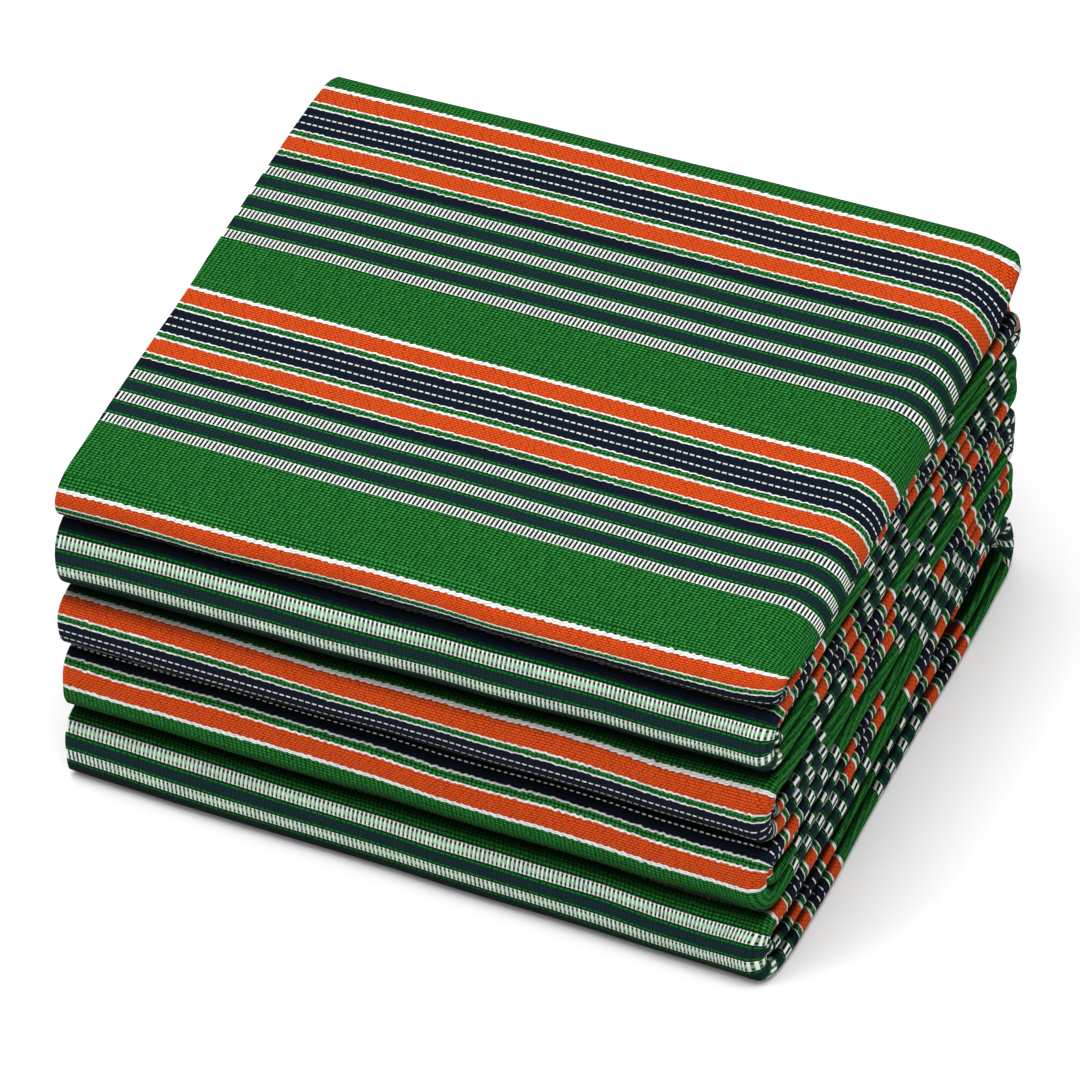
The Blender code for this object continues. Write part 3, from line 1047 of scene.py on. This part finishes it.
# %% Places on the sheet
RING = len(RUNS[0])
FAR_SIDE = RING - EDGE_STEPS
FRONT_SHOWN = 0.66
ALONGS = [station["along"] for station in STATIONS]


def shown(along):
    """True on the top arm, and on the front bends as far down as they can be seen."""
    return BENDS[0] < along < BENDS[1] or on_front_bend(along, BENDS, FRONT_SHOWN)


def along_of(strip, index, place, x, run):
    """The inverse of strip_place, for the outermost layer."""
    place = place / strip["scale"] - waver(index, run)
    edge = strip["ends"] - place if strip["turned"] else strip["begins"] + place
    return edge + x * strip["slant"]


def station_at(along):
    """The station before a place along the band, and the share of the way to the next one."""
    station = min(max(bisect.bisect(ALONGS, along) - 1, 0), len(STATIONS) - 2)
    return station, (along - ALONGS[station]) / (ALONGS[station + 1] - ALONGS[station])


def between(side, column, along):
    """The point of a column of the mesh at a place along the band. Side 1 is the outer, -1 the inner face."""
    station, share = station_at(along)
    column = column if side > 0 else FAR_SIDE - column
    low, high = (Vector(POINTS[(station + step) * RING + column]) for step in (0, 1))
    return low.lerp(high, share)


def on_sheet(strip, index, place, runs, station, u):
    """Point, outward normal and direction across the stripes, at (u, place) of a strip's outermost layer."""
    run = u - index * STRIP_SHIFT
    column = bisect.bisect(runs, run) - 1
    share = (run - runs[column]) / (runs[column + 1] - runs[column])
    ends = []
    for step in (0, 1):
        x = POINTS[station * RING + column + step][0]
        run_here = runs[column + step]
        along = along_of(strip, index, place, x, run_here)
        further = along_of(strip, index, place + MM, x, run_here)
        ends.append([between(1, column + step, along), between(-1, column + step, along),
                     between(1, column + step, further)])
    point, inner, further = (a.lerp(b, share) for a, b in zip(*ends))
    return point, (point - inner).normalized(), (further - point).normalized()


def guide(name, floats):
    """A mesh of loose points, one for each float, that keep their normal and their direction."""
    mesh = bpy.data.meshes.new(name)
    mesh.from_pydata([tuple(point) for point, outward, across in floats], [], [])
    for attribute, place in (("outward", 1), ("across", 2)):
        layer = mesh.attributes.new(attribute, "FLOAT_VECTOR", "POINT")
        layer.data.foreach_set("vector", [value for row in floats for value in row[place]])
    thing = bpy.data.objects.new(name, mesh)
    bpy.context.scene.collection.objects.link(thing)
    return thing


def floats_on(strip, index, place, pitch, phase):
    """Floats along one line of a strip, evenly spaced by the pitch (mm)."""
    middle = along_of(strip, index, place, 0, 0.1)
    if not shown(middle):
        return []
    station, share = station_at(middle)
    runs = [mix(low, high, share) for low, high in zip(RUNS[station][:RING // 2], RUNS[station + 1])]
    first = math.ceil((OUTER_RUN[0] + index * STRIP_SHIFT) / (pitch * MM) - phase)
    last = math.floor((OUTER_RUN[1] + index * STRIP_SHIFT) / (pitch * MM) - phase)
    steps = range(first, last + 1)
    return [on_sheet(strip, index, place, runs, station, (step + phase) * pitch * MM) for step in steps]


rung_floats, dash_floats = [], []
for index, strip in enumerate(STRIPS):
    for row in range(strip["rows"]):
        middle = FIRST_RUNGS + row * RUNG_UNIT + RUNG_LENGTH / 2
        phase = 0.5 - RUNG_LEAN * RUNG_LENGTH / 2 / RUNG_PITCH
        rung_floats += floats_on(strip, index, middle * MM, RUNG_PITCH, phase)
    for begin, end, seed in DASHED:
        dash_floats += floats_on(strip, index, (begin + end) / 2 * MM, DASH_PITCH, (0.5 - seed) % 1)
print(len(rung_floats), "rungs,", len(dash_floats), "dashes")

# %% [markdown]
# ## The raised threads themselves
#
# A Geometry Nodes tree puts one little ellipsoid on every guide point and turns it with the surface. Its
# inputs have names, so that the same tree makes long rungs across the stripes and short dashes along them.
# Half of each ellipsoid is sunk in the cloth. The result is kept as a plain mesh, and the guide is removed.

# %% Floats by Geometry Nodes


def float_tree():
    tree = bpy.data.node_groups.new("floats", "GeometryNodeTree")
    for name, side, kind in (
        ("Geometry", "INPUT", "Geometry"), ("Half Size", "INPUT", "Vector"), ("Unevenness", "INPUT", "Float"),
        ("Seed", "INPUT", "Int"), ("Material", "INPUT", "Material"), ("Geometry", "OUTPUT", "Geometry"),
    ):
        tree.interface.new_socket(name, in_out=side, socket_type="NodeSocket" + kind)
    nodes = tree.nodes
    given, made = nodes.new("NodeGroupInput"), nodes.new("NodeGroupOutput")
    grain = nodes.new("GeometryNodeMeshUVSphere")
    feed(((grain.inputs["Segments"], 6), (grain.inputs["Rings"], 5), (grain.inputs["Radius"], 1)))
    turn = nodes.new("FunctionNodeAxesToRotation")
    turn.primary_axis, turn.secondary_axis = "Z", "Y"
    for socket, attribute in zip(turn.inputs, ("outward", "across")):
        named = nodes.new("GeometryNodeInputNamedAttribute")
        named.data_type = "FLOAT_VECTOR"
        feed(((named.inputs["Name"], attribute), (socket, named.outputs["Attribute"])))
    chance = nodes.new("FunctionNodeRandomValue")
    chance.data_type = "FLOAT"
    feed(((chance.inputs[2], -1), (chance.inputs[3], 1), (chance.inputs["Seed"], given.outputs["Seed"])))
    spread = times_plus(chance.outputs[1], given.outputs["Unevenness"], 1)
    size = nodes.new("ShaderNodeVectorMath")
    size.operation = "SCALE"
    feed(((size.inputs[0], given.outputs["Half Size"]), (size.inputs["Scale"], spread)))
    place = nodes.new("GeometryNodeInstanceOnPoints")
    real = nodes.new("GeometryNodeRealizeInstances")
    paint = nodes.new("GeometryNodeSetMaterial")
    feed((
        (place.inputs["Points"], given.outputs["Geometry"]), (place.inputs["Instance"], grain.outputs[0]),
        (place.inputs["Rotation"], turn.outputs[0]), (place.inputs["Scale"], size.outputs[0]),
        (real.inputs[0], place.outputs[0]), (paint.inputs["Geometry"], real.outputs[0]),
        (paint.inputs["Material"], given.outputs["Material"]), (made.inputs[0], paint.outputs[0]),
    ))
    return tree


THREAD_COLOURS = ((0.44, 0.49, 0.45), (0.82, 0.86, 0.82))
RUNG_HALF_SIZE = (0.36 * MM, 2.1 * MM, 0.28 * MM)
DASH_HALF_SIZE = (0.80 * MM, 0.27 * MM, 0.16 * MM)


def thread_material():
    material = bpy.data.materials.new("white thread")
    material.use_nodes = True
    tree = material.node_tree
    shader = tree.nodes["Principled BSDF"]
    place = tree.nodes.new("ShaderNodeTexCoord")
    grain = tree.nodes.new("ShaderNodeTexNoise")
    grain.inputs["Scale"].default_value = 900
    tree.links.new(place.outputs["Object"], grain.inputs["Vector"])
    share = times_plus(grain.outputs[0], 2.4, -0.7, clamp=True)
    tree.links.new(mix_colour(share, *THREAD_COLOURS), shader.inputs["Base Color"])
    shader.inputs["Roughness"].default_value = 0.8
    shader.inputs["Specular IOR Level"].default_value = 0.2
    return material


def raised_threads(name, floats, tree, material, half_size, unevenness, seed):
    points = guide(name + "_guide", floats)
    modifier = points.modifiers.new("floats", "NODES")
    modifier.node_group = tree
    wanted = {"Half Size": half_size, "Unevenness": unevenness, "Seed": seed, "Material": material}
    for item in tree.interface.items_tree:
        if item.name in wanted:
            modifier[item.identifier] = wanted[item.name]
    depsgraph = bpy.context.evaluated_depsgraph_get()
    mesh = bpy.data.meshes.new_from_object(points.evaluated_get(depsgraph))
    mesh.shade_smooth()
    bpy.data.objects.remove(points, do_unlink=True)
    piece = bpy.data.objects.new(name, mesh)
    bpy.context.scene.collection.objects.link(piece)
    print(name, len(mesh.polygons), "faces")
    return piece


FLOAT_TREE, THREAD = float_tree(), thread_material()
rungs = raised_threads("white_rungs", rung_floats, FLOAT_TREE, THREAD, RUNG_HALF_SIZE, 0.10, 3)
dashes = raised_threads("white_dashes", dash_floats, FLOAT_TREE, THREAD, DASH_HALF_SIZE, 0.14, 5)

# %% [markdown]
# ## Where the pieces ride
#
# The sheet and the two sets of raised threads ride on the root body, and the CAD's cloth is hidden, since the
# dressed sheet takes its place. Laid flat, the cloth is as long as the run across the four layers, and as
# wide as the band is long, measured at the middle of the four layers, where the bends are tighter than on the
# outside.

# %% Pieces
for piece in (sheet, rungs, dashes):
    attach(piece, "root")
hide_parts("cloth")
